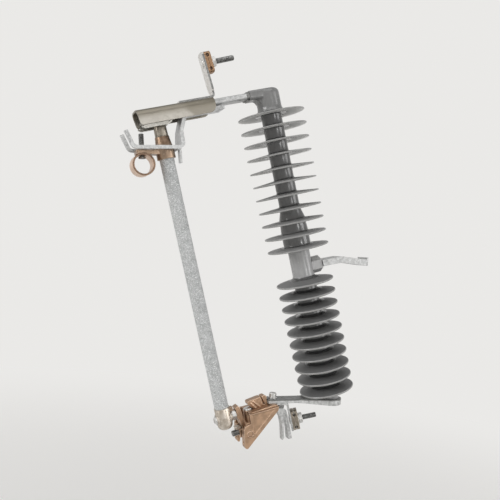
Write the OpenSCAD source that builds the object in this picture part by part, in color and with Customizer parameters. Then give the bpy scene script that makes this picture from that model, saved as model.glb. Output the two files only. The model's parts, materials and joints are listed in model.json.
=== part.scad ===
// Fuse cutout: a leaning polymer insulator that carries, on one side, a hood and hook strap at the top and
// a hinge casting at the bottom, with a tubular fuseholder between them that swings out and down.
//
// The row frame has its origin on the flat outer face of the mounting arm, +Z up and +X towards the pole.
// Most pieces are drawn in the insulator's own frame: z runs along its axis, x towards the pole, and the
// origin is at the middle of the sleeve. The module leaned() carries that frame into the row frame.

/* [Insulator] */
// Lean of the insulator from the vertical, degrees
lean = 20; // [14:0.5:26]
// Number of sheds above the middle sleeve
upper_sheds = 11; // [9:1:12]
// Number of sheds below the middle sleeve
lower_sheds = 10; // [8:1:11]
// Distance between the rims of the upper sheds
upper_pitch = 20.1; // [18:0.1:22]
// Distance between the rims of the lower sheds
lower_pitch = 18.8; // [17:0.1:20]
// Diameter of the topmost shed
upper_shed_d = 100; // [90:0.5:110]
// Diameter of the shed just above the sleeve
upper_last_d = 93.4; // [84:0.2:104]
// Diameter of the shed just below the sleeve
lower_shed_d = 87.4; // [78:0.2:98]
// Diameter of the lowest shed
lower_last_d = 83.4; // [74:0.2:94]
// Distance between the rims on either side of the sleeve
sleeve_gap = 53.4; // [46:0.2:60]
// Diameter of the middle sleeve
sleeve_d = 32.5; // [29:0.5:36]
// Diameter of the core between the upper sheds
core_d = 30.5; // [27:0.5:34]
// Diameter of the swollen core just above the sleeve
flare_d = 41; // [37:0.5:46]
// Diameter of the core between the lower sheds
lower_core_d = 34; // [30:0.5:38]

/* [Cap and bottom fitting] */
// Diameter of the elbow-shaped rubber cap
cap_d = 36; // [32:0.5:40]
// Height of the cap above the topmost rim
cap_rise = 44; // [38:0.5:50]
// Length of the cap's arm, from the insulator's axis
cap_reach = 33; // [29:0.5:38]
// Height of the cap's arm
cap_arm_h = 14; // [12:0.5:16]
// Width of the cap's arm
cap_arm_w = 28; // [26:0.5:31]
// Height of the level bar above the topmost rim
bar_rise = 32; // [29:0.5:34]
// Diameter of the bottom fitting
fitting_d = 31; // [28:0.5:34]

/* [Mounting] */
// Distance across the corners of the hexagonal boss
boss_d = 26; // [23:0.5:30]
// Distance of the boss's end from the insulator's axis
boss_reach = 30; // [27:0.5:34]
// Thickness of the mounting arm
arm_t = 9.5; // [8:0.5:12]
// Width of the mounting arm
arm_w = 28; // [25:0.5:32]
// Length of the arm from the boss to its bend
arm_rise_len = 33; // [28:0.5:38]
// Fall of that length below the insulator's square, degrees
arm_droop = 3; // [0:0.5:6]
// Length of the arm's flat end
arm_flat_len = 46; // [42:0.5:54]
// Distance of the origin from the bend, along the flat end
origin_run = 9; // [6:0.5:12]
// Distance of the bolt hole from the bend, along the flat end
hole_run = 27; // [25:0.5:30]
// Diameter of the bolt hole
hole_d = 14.3; // [11:0.1:15]
// Height of the lip at the arm's end
lip_h = 3.5; // [2:0.5:5]

/* [Head] */
// Tilt of the head pieces, rising towards the pole, degrees
head_tilt = 1.5; // [0:0.25:3]
// Thickness of the top bar
bar_t = 9; // [8:0.25:10]
// Width of the top bar
bar_w = 24; // [22:0.5:25]
// Distance of the bar's outer end from the insulator's axis
bar_reach = 125; // [120:1:130]
// Distance of the hood's outer end from the insulator's axis
hood_reach = 200; // [194:1:206]
// Distance of the hood's inner end from the insulator's axis
hood_start = 88; // [84:1:92]
// Outer width of the hood
hood_w = 36; // [35.5:0.25:39]
// Sheet thickness of the hood
hood_t = 2.5; // [2:0.25:2.75]
// Outer height of the hood
hood_h = 21.5; // [21:0.25:23]
// Thickness of the contact strip inside the hood
contact_t = 2.5; // [2:0.25:3]

/* [Hook strap] */
// Thickness of the hook strap
hook_t = 5; // [4:0.25:6]
// Width of the strap inside the hood and down its neck
hook_neck_w = 30; // [27:0.5:30.5]
// Width of the forked plate
fork_w = 42; // [41:0.5:46]
// Width of the slot between the two prongs
fork_gap = 32; // [31:0.5:33]
// Rise of the forked plate towards its outer end, degrees
fork_rise = 9.5; // [7:0.5:11]
// Height of the upturned fingers
finger_h = 24; // [18:1:28]

/* [Terminals] */
// Thickness of both terminal straps
pad_t = 3; // [2.5:0.25:4]
// Width of both terminal straps
pad_w = 20; // [18:0.5:26]
// Height of the top terminal strap above the bar
top_pad_rise = 66.5; // [62:0.5:76]
// Height of a wire clamp
clamp_h = 30; // [27:0.5:33]
// Depth of each half of a wire clamp
clamp_t = 4.5; // [4:0.25:6]
// Gap between the halves of a wire clamp
clamp_gap = 0.8; // [0.5:0.1:1.5]
// Diameter of a clamp's bolt
clamp_bolt_d = 7.9; // [6:0.1:9]
// Length of the top clamp's bolt beyond its nut
top_bolt_free = 29; // [22:1:36]
// Length of the lower clamp's bolt beyond its nut
lower_bolt_free = 21; // [14:1:26]
// Diameter of the wire grooves
groove_d = 5.4; // [4:0.2:6.4]
// Distance of a wire groove from the bolt
groove_off = 9.5; // [9:0.25:11]

/* [Hinge end] */
// Distance of the hinge pins from the insulator's axis
pivot_x = 141.7; // [138:0.5:146]
// Distance of the hinge pins below the lowest rim
pivot_drop = 19; // [17:0.5:22]
// Clear width between the casting's two cheeks
cheek_gap = 36; // [35:0.5:40]
// Thickness of each cheek
cheek_t = 4.5; // [3.5:0.25:6]
// Diameter of the hinge pins
pin_d = 8; // [6:0.5:9]
// Fall of the lower bracket towards the pole, degrees
bracket_fall = 17; // [15:0.5:19]
// Thickness of the lower bracket
bracket_t = 5.5; // [4.5:0.25:7]
// Diameter of the bracket's round end
bracket_end_d = 40; // [34:0.5:44]
// Width of the bracket's bar
bracket_w = 22; // [19:0.5:26]
// Turn of the lower terminal about its hanging strap, degrees
foot_turn = 20; // [10:1:30]

/* [Fuseholder] */
// Outer diameter of the fuse tube
tube_d = 20.6; // [19:0.1:21.5]
// Bore of the fuse tube
tube_bore = 12.7; // [10:0.1:14]
// Distance from the hinge pins out to the tube's axis
tube_off = 27.5; // [27:0.25:29]
// Diameter of the lower ferrule
ferrule_d = 22.6; // [22:0.1:23.2]
// Bore of the pull ring
ring_bore = 26; // [24:0.5:27]
// Outer diameter of the pull ring
ring_d = 31; // [30:0.25:32]
// Width of the pull ring
ring_w = 28; // [22:0.5:30]

/* [Hidden] */
$fn = 64;

GALVANISED = [0.66, 0.68, 0.69];
STEEL = [0.62, 0.59, 0.54];
BRONZE = [0.72, 0.52, 0.38];
BRIGHT = [0.78, 0.78, 0.76];
DARK_STEEL = [0.35, 0.36, 0.37];
RUBBER = [0.43, 0.43, 0.44];
PALE_RUBBER = [0.60, 0.60, 0.60];
TUBE_GREY = [0.70, 0.72, 0.74];
TAN = [0.74, 0.66, 0.58];

eps = 0.01;                 // overlap of a cut with the face that it leaves open
nut_bevel = 1.2;            // height of the turned corners of a nut
pin_clearance = 0.08;       // radial running clearance at the hinge pins

// heights along the insulator's axis
top_rim = sleeve_gap / 2 + (upper_sheds - 1) * upper_pitch;
low_rim = -sleeve_gap / 2 - (lower_sheds - 1) * lower_pitch;
cap_top = top_rim + cap_rise;
cap_foot = top_rim + 5;
head_z = top_rim + bar_rise;
pivot_z = low_rim - pivot_drop;
tube_x = -pivot_x - tube_off;
sleeve_top = sleeve_gap / 2 - 3;
sleeve_foot = -sleeve_gap / 2 + 6.5;
bracket_z = low_rim - 15;   // top face of the bracket at the insulator's axis
housing_foot = low_rim - 2;

// ---- shape helpers -----------------------------------------------------------------------------------

function unit(v) = v / norm(v);
function left_of(v) = [-v[1], v[0]];
function turned(v, a) = [v[0] * cos(a) - v[1] * sin(a), v[0] * sin(a) + v[1] * cos(a)];

// points of an arc about c, from angle a to angle b
function arc(c, r, a, b, n = 6) = [for (i = [0:n]) c + r * [cos(a + (b - a) * i / n), sin(a + (b - a) * i / n)]];

// direction in which point i of a path moves when the path's strip gets thicker
function mitre(p, i) =
    let (n = len(p),
        a = left_of(unit(i > 0 ? p[i] - p[i - 1] : p[1] - p[0])),
        b = left_of(unit(i < n - 1 ? p[i + 1] - p[i] : p[i] - p[i - 1])))
    (a + b) / (1 + a * b);

// outline of a strip of thickness t along a path
function strip(p, t) = concat(
    [for (i = [0:len(p) - 1]) p[i] + mitre(p, i) * t / 2],
    [for (i = [len(p) - 1:-1:0]) p[i] - mitre(p, i) * t / 2]);

// one corner of a path, rounded to radius r
function bend(a, b, c, r, n) =
    let (d1 = unit(b - a), d2 = unit(c - b), side = d1[0] * d2[1] - d1[1] * d2[0] > 0 ? 1 : -1,
        turn = acos(max(-1, min(1, d1 * d2))), start = b - d1 * r * tan(turn / 2),
        centre = start + side * r * left_of(d1))
    [for (i = [0:n]) centre + turned(start - centre, side * turn * i / n)];

// a path with every inner corner rounded
function bent(p, r, n = 5) = concat([p[0]],
    [for (i = [1:len(p) - 2]) each bend(p[i - 1], p[i], p[i + 1], r, n)], [p[len(p) - 1]]);

// rectangle w by h about the origin, with corners of radius r
function rounded(w, h, r, n = 4) = [for (k = [0:3])
    each arc([(k == 0 || k == 3 ? 1 : -1) * (w / 2 - r), (k < 2 ? 1 : -1) * (h / 2 - r)], r, 90 * k, 90 * k + 90, n)];

// a shape drawn in x and z, extruded across the symmetry plane
module across(w, y = 0) translate([0, y + w / 2, 0]) rotate([90, 0, 0]) linear_extrude(w) children();

// a shape drawn in y and z, extruded along x
module along(l) rotate([90, 0, 90]) linear_extrude(l) children();

// a round rod along +x
module rod(d, l) rotate([0, 90, 0]) cylinder(d = d, h = l);

// a round rod across the symmetry plane, centred on it
module cross_rod(d, w) rotate([90, 0, 0]) cylinder(d = d, h = w, center = true);

// a hexagonal nut along +z, with the corners of its upper end turned off
module nut(across_flats, h) {
    corners = across_flats / cos(30);
    intersection() {
        cylinder(d = corners, h = h, $fn = 6);
        union() {
            cylinder(d = corners + eps, h = h - nut_bevel);
            translate([0, 0, h - nut_bevel]) cylinder(d1 = corners + eps, d2 = across_flats * 0.95, h = nut_bevel);
        }
    }
}

// ---- frames ------------------------------------------------------------------------------------------

boss_z = -4.5;              // height of the boss's axis
arm_knee = [boss_reach + arm_rise_len * cos(arm_droop), boss_z - arm_rise_len * sin(arm_droop)];
flat_dir = [cos(lean), -sin(lean)];
flat_up = [sin(lean), cos(lean)];
origin_point = arm_knee + flat_dir * origin_run + flat_up * arm_t / 2;

module leaned() rotate([0, -lean, 0]) translate([-origin_point[0], 0, -origin_point[1]]) children();

// the head's frame: origin on the bar's middle line at the insulator's axis
module head() leaned() translate([0, 0, head_z]) rotate([0, -head_tilt, 0]) children();

// the hinge's frame: origin at the middle of the hinge pins
module hinge() leaned() translate([-pivot_x, 0, pivot_z]) children();

// the bracket's frame: origin on its top face at the insulator's axis, x towards the pole
module bracket_frame() leaned() translate([0, 0, bracket_z]) rotate([0, bracket_fall, 0]) children();

// the foot's frame: origin on the bracket's underside, where the leg and the lower terminal hang
foot_x = -79;
foot_z = bracket_z - foot_x * tan(bracket_fall) - bracket_t / cos(bracket_fall);
module foot() leaned() translate([foot_x, 0, foot_z]) children();

// the same point, with x along the bracket
module seat() foot() rotate([0, bracket_fall, 0]) children();

// ---- insulator ---------------------------------------------------------------------------------------

// outline of one shed, from its upper root round the rim to its lower root
function shed(core_r, rim_r, z, edge, top_slope, foot_slope) = concat(
    [[core_r, z + edge / 2 + (rim_r - core_r) * tan(top_slope)]],
    arc([rim_r - edge / 2, z], edge / 2, 80, -80, 6),
    [[core_r, z - edge / 2 + (rim_r - core_r) * tan(foot_slope)]]);

upper_edge = 2.2;
upper_top_slope = 6;
upper_foot_slope = 3;
lower_edge = 3;
lower_top_slope = 13;
lower_foot_slope = 4;
flare_sheds = 2;            // sheds above the sleeve whose core is at its full swell

function upper_z(i) = top_rim - i * upper_pitch;
function lower_z(i) = -sleeve_gap / 2 - i * lower_pitch;
function upper_r(i) = (upper_shed_d + (upper_last_d - upper_shed_d) * i / (upper_sheds - 1)) / 2;
function lower_r(i) = (lower_shed_d + (lower_last_d - lower_shed_d) * i / (lower_sheds - 1)) / 2;
function upper_core_r(i) = i < upper_sheds - flare_sheds - 1 ? core_d / 2
    : flare_d / 2 - (i == upper_sheds - flare_sheds - 1 ? 1.2 : 0);

module upper_housing() color(RUBBER) leaned() rotate_extrude() polygon(concat(
    [[0, cap_foot], [core_d / 2, cap_foot]],
    [for (i = [0:upper_sheds - 1]) each shed(upper_core_r(i), upper_r(i), upper_z(i), upper_edge,
        upper_top_slope, upper_foot_slope)],
    [[flare_d / 2, sleeve_top], [0, sleeve_top]]));

module middle_sleeve() color(PALE_RUBBER) leaned()
    translate([0, 0, sleeve_foot]) cylinder(d = sleeve_d, h = sleeve_top - sleeve_foot);

module lower_housing() color(RUBBER) leaned() rotate_extrude() polygon(concat(
    [[0, sleeve_foot], [lower_core_d / 2, sleeve_foot]],
    [for (i = [0:lower_sheds - 1]) each shed(lower_core_d / 2, lower_r(i), lower_z(i), lower_edge,
        lower_top_slope, lower_foot_slope)],
    [[lower_core_d / 2, housing_foot], [0, housing_foot]]));

cap_round = 8;
bar_root = -14;             // how near the insulator's axis the bar's inner end comes
bar_round = 3.5;            // corner radius of the bar, inside the hood's bend

module bar_solid(extra = 0) translate([-bar_reach, 0, 0]) along(bar_reach + bar_root + extra)
    polygon(rounded(bar_w, bar_t, bar_round));

module top_cap() color(RUBBER) difference() {
    union() {
        intersection() {
            leaned() rotate_extrude() polygon([[0, cap_foot], [cap_d / 2 + 3, cap_foot],
                [cap_d / 2 + 1, cap_foot + 2.5], [cap_d / 2, cap_foot + 6], [cap_d / 2, cap_top], [0, cap_top]]);
            head() rotate_extrude() polygon(concat([[0, -100], [cap_d / 2 + 60, -100]],
                arc([cap_d / 2 - cap_round, cap_arm_h / 2 - cap_round], cap_round, 0, 90), [[0, cap_arm_h / 2]]));
        }
        head() translate([-cap_reach, 0, 0]) along(cap_reach) polygon(rounded(cap_arm_w, cap_arm_h, 3.5));
        head() across(cap_arm_w - 8) polygon([[-cap_d / 2 - 4, -cap_arm_h / 2], [0, -cap_arm_h / 2],
            [0, -cap_arm_h / 2 - 6], [-cap_d / 2 + 1, -cap_arm_h / 2 - 6], [-cap_d / 2 - 1, -cap_arm_h / 2 - 2]]);
    }
    head() bar_solid();
}

module bottom_fitting() color(PALE_RUBBER) difference() {
    leaned() translate([0, 0, low_rim - 30]) cylinder(d = fitting_d, h = housing_foot - low_rim + 30);
    bracket_frame() translate([-60, -40, -60]) cube([120, 80, 60]);
}

// ---- mounting ----------------------------------------------------------------------------------------

module mounting_boss() color(PALE_RUBBER) difference() {
    leaned() translate([0, 0, boss_z]) rotate([0, 90, 0]) cylinder(d = boss_d, h = boss_reach, $fn = 6);
    leaned() translate([0, 0, -boss_d]) cylinder(d = sleeve_d, h = 2 * boss_d);
}

arm_root = 6;               // length of the arm that leaves the boss squarely
arm_path = bent([[boss_reach, boss_z], [boss_reach + arm_root, boss_z], arm_knee,
    arm_knee + flat_dir * arm_flat_len], 14);
lip_t = 2.5;

module mounting_arm() color(GALVANISED) leaned() difference() {
    union() {
        across(arm_w) polygon(strip(arm_path, arm_t));
        translate([arm_knee[0], 0, arm_knee[1]]) rotate([0, lean, 0])
            translate([arm_flat_len - lip_t, -arm_w / 2, 0]) cube([lip_t, arm_w, arm_t / 2 + lip_h]);
    }
    translate([arm_knee[0], 0, arm_knee[1]]) rotate([0, lean, 0])
        translate([hole_run, 0, -arm_t]) cylinder(d = hole_d, h = 2 * arm_t);
}

// ---- head --------------------------------------------------------------------------------------------

roof_z = bar_t / 2 + hood_t;
wall_foot = roof_z - hood_h;
hood_round = 9;

module top_bar() color(GALVANISED) head() bar_solid();

collar_l = 3;
module bar_collar() color(DARK_STEEL) head() difference() {
    translate([-cap_reach - collar_l, 0, 0]) along(collar_l) polygon(rounded(bar_w + 3, bar_t + 3, bar_round + 1.5));
    translate([-cap_reach - collar_l - 1, 0, 0]) along(collar_l + 2) polygon(rounded(bar_w, bar_t, bar_round));
}

// hood cross-section: an upside-down U, open at the bottom
module hood_section(w, h, r) polygon(concat([[-w / 2, roof_z - h], [-w / 2, roof_z - r]],
    arc([-w / 2 + r, roof_z - r], r, 180, 90), arc([w / 2 - r, roof_z - r], r, 90, 0),
    [[w / 2, roof_z - h]]));

module hood() color(STEEL) head() difference() {
    translate([-hood_reach, 0, 0]) along(hood_reach - hood_start) hood_section(hood_w, hood_h, hood_round);
    translate([-hood_reach - 1, 0, -hood_t]) along(hood_reach - hood_start + 2)
        hood_section(hood_w - 2 * hood_t, hood_h, hood_round - hood_t);
    // outer end cut on a slant, with a round lower corner
    across(hood_w + 2) polygon([[-hood_reach - 1, roof_z + 1], [-hood_reach - 1, wall_foot - 1],
        [-hood_reach + 4, wall_foot - 1], [-hood_reach + 2, wall_foot + 3], [-hood_reach - eps, roof_z - 2]]);
    // round lower corner at the inner end
    across(hood_w + 2) polygon(concat([[-hood_start + 1, wall_foot - 1]],
        arc([-hood_start - 10, wall_foot + 10], 10, 0, -90), [[-hood_start - 10, wall_foot - 1]]));
}

contact_top = -bar_t / 2;
hook_top = contact_top - contact_t;
contact_low = wall_foot + 4.4;
contact_w = 22;
contact_end = -hood_reach + 6;
hook_x = -134;              // where the hook strap turns down out of the hood
contact_step = hook_x - 14; // where the strip steps up to the bar, outside the hook strap
skirt_h = 8;
skirt_t = 1.8;
skirt_l = hook_x - 23 - contact_end;
rim_t = 1.8;                // lips along the feet of the tray's skirts, curled up at both ends
rim_z = wall_foot - 4;
rim_out = hood_w / 2 - 1;
skirt_w = hood_w - 2 * hood_t - 1.5;

// a spring strip with a shallow tray at its outer end, whose two skirts guide the fuseholder's cap
module upper_contact() color(BRIGHT) head() {
    across(contact_w) polygon(strip(bent([[contact_end, contact_low], [contact_step, contact_low],
        [contact_step + 9, contact_top - contact_t / 2], [-hood_start - 6, contact_top - contact_t / 2]], 5), contact_t));
    translate([contact_end, -skirt_w / 2, contact_low - contact_t / 2]) cube([skirt_l - 2, skirt_w, contact_t]);
    for (s = [-1, 1]) across(skirt_t, s * (skirt_w - skirt_t) / 2) translate([contact_end, contact_low + contact_t / 2])
        polygon([[0, 0], [0, -contact_t - skirt_h + 1], [1, -contact_t - skirt_h], [skirt_l - 7, -contact_t - skirt_h],
            [skirt_l - 3, -contact_t - skirt_h + 2], [skirt_l, -contact_t - 1], [skirt_l, 0]]);
    for (s = [-1, 1]) across(rim_out - skirt_w / 2 + skirt_t, s * (rim_out + skirt_w / 2 - skirt_t) / 2)
        polygon(strip(bent([[contact_end - 3, wall_foot - 1.2], [contact_end + 1, rim_z],
            [contact_end + skirt_l - 4, rim_z], [contact_end + skirt_l + 2, wall_foot - 1.2]], 3), rim_t));
}

// the hook strap's middle line in the head's frame, from the tab beyond the hood to the fork's fingers
hook_run_z = hook_top - hook_t / 2;
fork_corner = [hook_x - 14.5, -54];
fork_len = 68;
fork_dir = [-cos(fork_rise + head_tilt), sin(fork_rise + head_tilt)];
fork_tip = fork_corner + fork_dir * fork_len;
finger_dir = [-sin(12), cos(12)];
hook_path = bent([[-75, hook_run_z], [hook_x, hook_run_z], [hook_x - 10.5, hook_run_z - 22], fork_corner, fork_tip,
    fork_tip + finger_dir * finger_h], 7);
neck_shoulder = -34;        // height in the head's frame at which the neck starts to widen
shoulder_drop = 16;         // height over which it widens
fork_low = -80;             // below everything of the fork
slot_end = 6;               // distance of the slot's end from the fork's corner
tongue_w = 10;
tongue_t = 3;

// front outline of the strap: narrow in the hood and down the neck, wide at the fork
module hook_front() polygon([for (s = [-1, 1], q = s < 0 ? [[hook_neck_w / 2, 5], [hook_neck_w / 2, neck_shoulder],
    [fork_w / 2, neck_shoulder - shoulder_drop], [fork_w / 2, fork_low]] : [[fork_w / 2, fork_low],
    [fork_w / 2, neck_shoulder - shoulder_drop],
    [hook_neck_w / 2, neck_shoulder], [hook_neck_w / 2, 5]]) [s * q[0], q[1]]]);

// the slot's frame: origin at the fork's corner, x back along the fork
module fork_frame() translate([fork_corner[0], 0, fork_corner[1]]) rotate([0, fork_rise + head_tilt, 0]) children();

module hook_strap() color(GALVANISED) head() difference() {
    union() {
        intersection() {
            across(fork_w) polygon(strip(hook_path, hook_t));
            translate([fork_tip[0] - finger_h, 0, 0]) along(-fork_tip[0]) hook_front();
        }
        // wide outer part, whose fingers rise above the neck's shoulder
        across(fork_w) polygon(strip(bent([fork_corner + fork_dir * fork_w / 2, fork_tip,
            fork_tip + finger_dir * finger_h], 7), hook_t));
        // stop tongue pressed down behind the tube
        across(tongue_w) polygon(strip([fork_corner + [-1, 1], fork_corner + [-4.3, -19]], tongue_t));
    }
    fork_frame() translate([-fork_len - finger_h, -fork_gap / 2, -finger_h])
        cube([fork_len + finger_h - slot_end, fork_gap, 3 * finger_h]);
    translate([-82, 0, hook_run_z - hook_t]) cylinder(d = 6, h = 2 * hook_t);
}

// ---- terminals ---------------------------------------------------------------------------------------

washer_t = 1.2;
clamp_nut_h = 5.5;
clamp_nut_x = 2 * clamp_t + clamp_gap + washer_t;
clamp_nut_flats = 13.5;
clamp_head_t = 1;
clamp_head_d = 12;

// a wire clamp's frame has x along the bolt, 0 on the strap's face
module clamp_half(x) difference() {
    translate([x, 0, 0]) along(clamp_t) polygon(rounded(pad_w - 2, clamp_h, 5));
    for (s = [-1, 1]) translate([clamp_t + clamp_gap / 2, 0, s * groove_off])
        cross_rod(groove_d, pad_w + 2);
    translate([-1, 0, 0]) rod(clamp_bolt_d, 3 * clamp_t);
}

module clamp_bolt(free) {
    translate([-pad_t, 0, 0]) rod(clamp_bolt_d, pad_t + clamp_nut_x + clamp_nut_h + free);
    translate([-pad_t - clamp_head_t, 0, 0]) rod(clamp_head_d, clamp_head_t);
}

module clamp_nut() difference() {
    union() {
        translate([clamp_nut_x - washer_t, 0, 0]) rod(17, washer_t);
        translate([clamp_nut_x, 0, 0]) rotate([0, 90, 0]) nut(clamp_nut_flats, clamp_nut_h);
    }
    translate([clamp_t, 0, 0]) rod(clamp_bolt_d, 2 * clamp_nut_x);
}

top_pad_x = -hood_start + 6;
top_pad_run = 54;           // length of the top strap on the hood's roof
top_clamp_z = top_pad_rise - clamp_h / 2 - 2;
pad_lean = 3;

// the top strap lies on the hood's roof and turns up at its inner end
module top_pad_frame() head() translate([top_pad_x, 0, roof_z]) rotate([0, -pad_lean, 0]) children();
module top_terminal_strap() color(STEEL) difference() {
    union() {
        head() across(pad_w - 6) polygon(strip(bent([[top_pad_x - top_pad_run, roof_z + pad_t / 2],
            [top_pad_x - pad_t / 2, roof_z + pad_t / 2],
            [top_pad_x - pad_t / 2, roof_z + 12]], 4), pad_t));
        top_pad_frame() translate([-pad_t, 0, top_pad_rise / 2 + 3]) along(pad_t)
            polygon(rounded(pad_w, top_pad_rise - 10, 5));
    }
    top_pad_frame() translate([-2 * pad_t, 0, top_clamp_z]) rod(clamp_bolt_d, 3 * pad_t);
}

module top_clamp_frame() top_pad_frame() translate([0, 0, top_clamp_z]) children();
module top_clamp_body() color(BRONZE) top_clamp_frame() clamp_half(0);
module top_clamp_keeper() color(BRONZE) top_clamp_frame() clamp_half(clamp_t + clamp_gap);
module top_clamp_bolt() color(DARK_STEEL) top_clamp_frame() clamp_bolt(top_bolt_free);
module top_clamp_nut() color(BRIGHT) top_clamp_frame() clamp_nut();

foot_plate_t = 3;
foot_nut_t = 6;
foot_pad_x = 12;            // face of the hanging strap towards the pole, from the foot's origin
foot_pad_low = -47;
low_clamp_z = -32.5;
foot_bolt_d = 7;
leg_depth = 10;

module lower_pad_frame() foot() translate([foot_pad_x, 0, 0]) rotate([0, 0, -foot_turn]) children();
module lower_clamp_frame() lower_pad_frame() translate([0, 0, low_clamp_z]) children();

module below_bracket() seat() translate([-50, -50, -100]) cube([100, 100, 100]);

// a plate under the bracket, turned down into a strap that hangs plumb with the insulator
module lower_terminal_strap() color(GALVANISED) difference() {
    intersection() {
        union() {
            seat() translate([-9, -9, -foot_plate_t]) cube([30, 18, foot_plate_t]);
            lower_pad_frame() translate([-pad_t, 0, foot_pad_low / 2]) along(pad_t)
                polygon(rounded(pad_w, -foot_pad_low + 14, 5));
        }
        below_bracket();
        lower_pad_frame() translate([-60, -40, foot_pad_low]) cube([60, 80, 80]);
    }
    lower_clamp_frame() translate([-2 * pad_t, 0, 0]) rod(clamp_bolt_d, 3 * pad_t);
    seat() translate([0, 0, -10]) cylinder(d = foot_bolt_d, h = 20);
}

module lower_clamp_body() color(BRONZE) lower_clamp_frame() clamp_half(0);
module lower_clamp_keeper() color(BRONZE) lower_clamp_frame() clamp_half(clamp_t + clamp_gap);
module lower_clamp_bolt() color(DARK_STEEL) lower_clamp_frame() clamp_bolt(lower_bolt_free);
module lower_clamp_nut() color(BRIGHT) lower_clamp_frame() clamp_nut();

// point under the bracket: s along it, d below its underside, in the foot's frame
function under(s, d) = [s * cos(bracket_fall) - d * sin(bracket_fall), -s * sin(bracket_fall) - d * cos(bracket_fall)];

module foot_nut() color(DARK_STEEL) seat() translate([0, 0, -foot_plate_t]) rotate([180, 0, 30]) difference() {
    nut(12, foot_nut_t);
    translate([0, 0, -1]) cylinder(d = foot_bolt_d, h = foot_nut_t + 2);
}

leg_top = foot_plate_t + foot_nut_t;
leg_grip = 4;               // length of the bolt inside the leg

// a strap folded over at the top, whose two tails spread downwards; the inner tail passes the clamp's bolt head
leg_inner = [[4.6, -13.8], [5, -22], [5, -38], [4.6, -58.5]];
leg_split = [[-1.3, -57.5], [1, -36], [-0.8, -28.5], [-2.6, -28], [-4.4, -36], [-7.6, -54]];
leg_outer = [[-10.8, -56], [-6.8, -34], [-6.6, -22], [-9, -14]];
module hanger_leg() color(GALVANISED) difference() {
    foot() across(leg_depth) polygon(concat([under(-5, leg_top), under(4, leg_top)], leg_inner, leg_split, leg_outer));
    seat() translate([0, 0, -leg_top - leg_grip]) cylinder(d = foot_bolt_d, h = leg_grip + 1);
}

module foot_bolt() color(DARK_STEEL) seat()
    translate([0, 0, -leg_top - leg_grip]) cylinder(d = foot_bolt_d, h = leg_top + leg_grip + bracket_t);

// ---- hinge end ---------------------------------------------------------------------------------------

bracket_l = 104;
bracket_bolt_x = -94;       // hinge bolt, along the bracket from the insulator's axis
bracket_bolt_d = 8;
bracket_bolt_grip = 5;      // length of the hinge bolt inside the casting

bracket_end_t = 9;          // thickness of the bracket under the insulator
bracket_thick_x = -58;      // where it starts to thicken

module lower_bracket() color(GALVANISED) bracket_frame() difference() {
    intersection() {
        translate([0, 0, -bracket_end_t]) {
            cylinder(d = bracket_end_d, h = bracket_end_t);
            translate([-bracket_l, -bracket_w / 2, 0]) cube([bracket_l, bracket_w, bracket_end_t]);
            linear_extrude(bracket_end_t) polygon([[-50, -bracket_w / 2], [-50, bracket_w / 2],
                [-8, bracket_end_d / 2 - 2], [-8, -bracket_end_d / 2 + 2]]);
        }
        across(2 * bracket_end_d) polygon([[-bracket_l - 1, 1], [-bracket_l - 1, -bracket_t],
            [bracket_thick_x, -bracket_t], [-8, -bracket_end_t], [bracket_end_d, -bracket_end_t],
            [bracket_end_d, 1]]);
    }
    translate([bracket_bolt_x, 0, -2 * bracket_t]) cylinder(d = bracket_bolt_d, h = 3 * bracket_t);
    translate([foot_x / cos(bracket_fall) + bracket_t * tan(bracket_fall), 0, -2 * bracket_t])
        cylinder(d = foot_bolt_d, h = 3 * bracket_t);
}

cheek_y = cheek_gap / 2;
block_w = 12;
block_low = 27.5;           // seat of the block above the hinge pins
block_x = 10.7;
block_end = 41.2;
button_x = 10.5;
column_x = 11.5;
column_r = 8;
column_low = 9.5;

// height of the bracket's underside in the hinge's frame
function bracket_foot(x) = bracket_z - pivot_z + (pivot_x - x) * tan(bracket_fall) - bracket_t / cos(bracket_fall);

// a cheek's side is a V below the hinge pins, whose long right arm carries the bracket. Left of its slanting
// rib the edge drops to the pin, so that the lever shows above it.
rib_top = [9.4, 25.3];      // the rib's line, along the left side of the sunk face
rib_foot = [4.8, -4.2];
cheek_front = [[-8, 7.5], [-11.9, -15.5]];
cheek_tip = [-8.6, -16.6];
cheek_tip_r = 3.3;
cheek_right = [51.5, 24.5];
cheek_rim = 4.5;            // width of the raised rim along the sloping edge
cheek_sink = 1;             // depth of the face inside the rim
pin_boss_d = 10;
flange_t = 3.5;             // the cheeks' front edges turn in towards each other
flange_gap = 22;            // room between them for the lever
flange_hole_d = 5;
flange_hole = [16.5, -11.5];    // across and up

module cheek_outline() polygon(concat(cheek_front, arc(cheek_tip, cheek_tip_r, 185, 305),
    [cheek_right - [1.5, 5], cheek_right, rib_top + [0.6, 1.2], rib_top + [-4.5, 2.2], [4.5, 13.5], [-5, 12.5]]));

module cheek_face() polygon([rib_foot, [cheek_right[0] - cheek_rim - 3, cheek_right[1] - 1.3], rib_top]);

module cheek(s) {
    difference() {
        across(cheek_t, s * (cheek_y + cheek_t / 2)) cheek_outline();
        across(2 * cheek_sink, s * (cheek_y + cheek_t)) cheek_face();
    }
    translate([0, s * (cheek_y + cheek_t), 0]) cross_rod(pin_boss_d, 2 * cheek_sink);
    difference() {
        across(cheek_y - flange_gap / 2 + eps, s * (cheek_y + flange_gap / 2) / 2)
            polygon(concat(cheek_front, arc(cheek_tip, cheek_tip_r, 185, 270),
                [cheek_front[1] + [flange_t + 1.5, -1], cheek_front[0] + [flange_t, 0]]));
        translate([cheek_front[1][0] - 1, s * flange_hole[0], flange_hole[1]]) rod(flange_hole_d, 3 * flange_t);
    }
}

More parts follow.
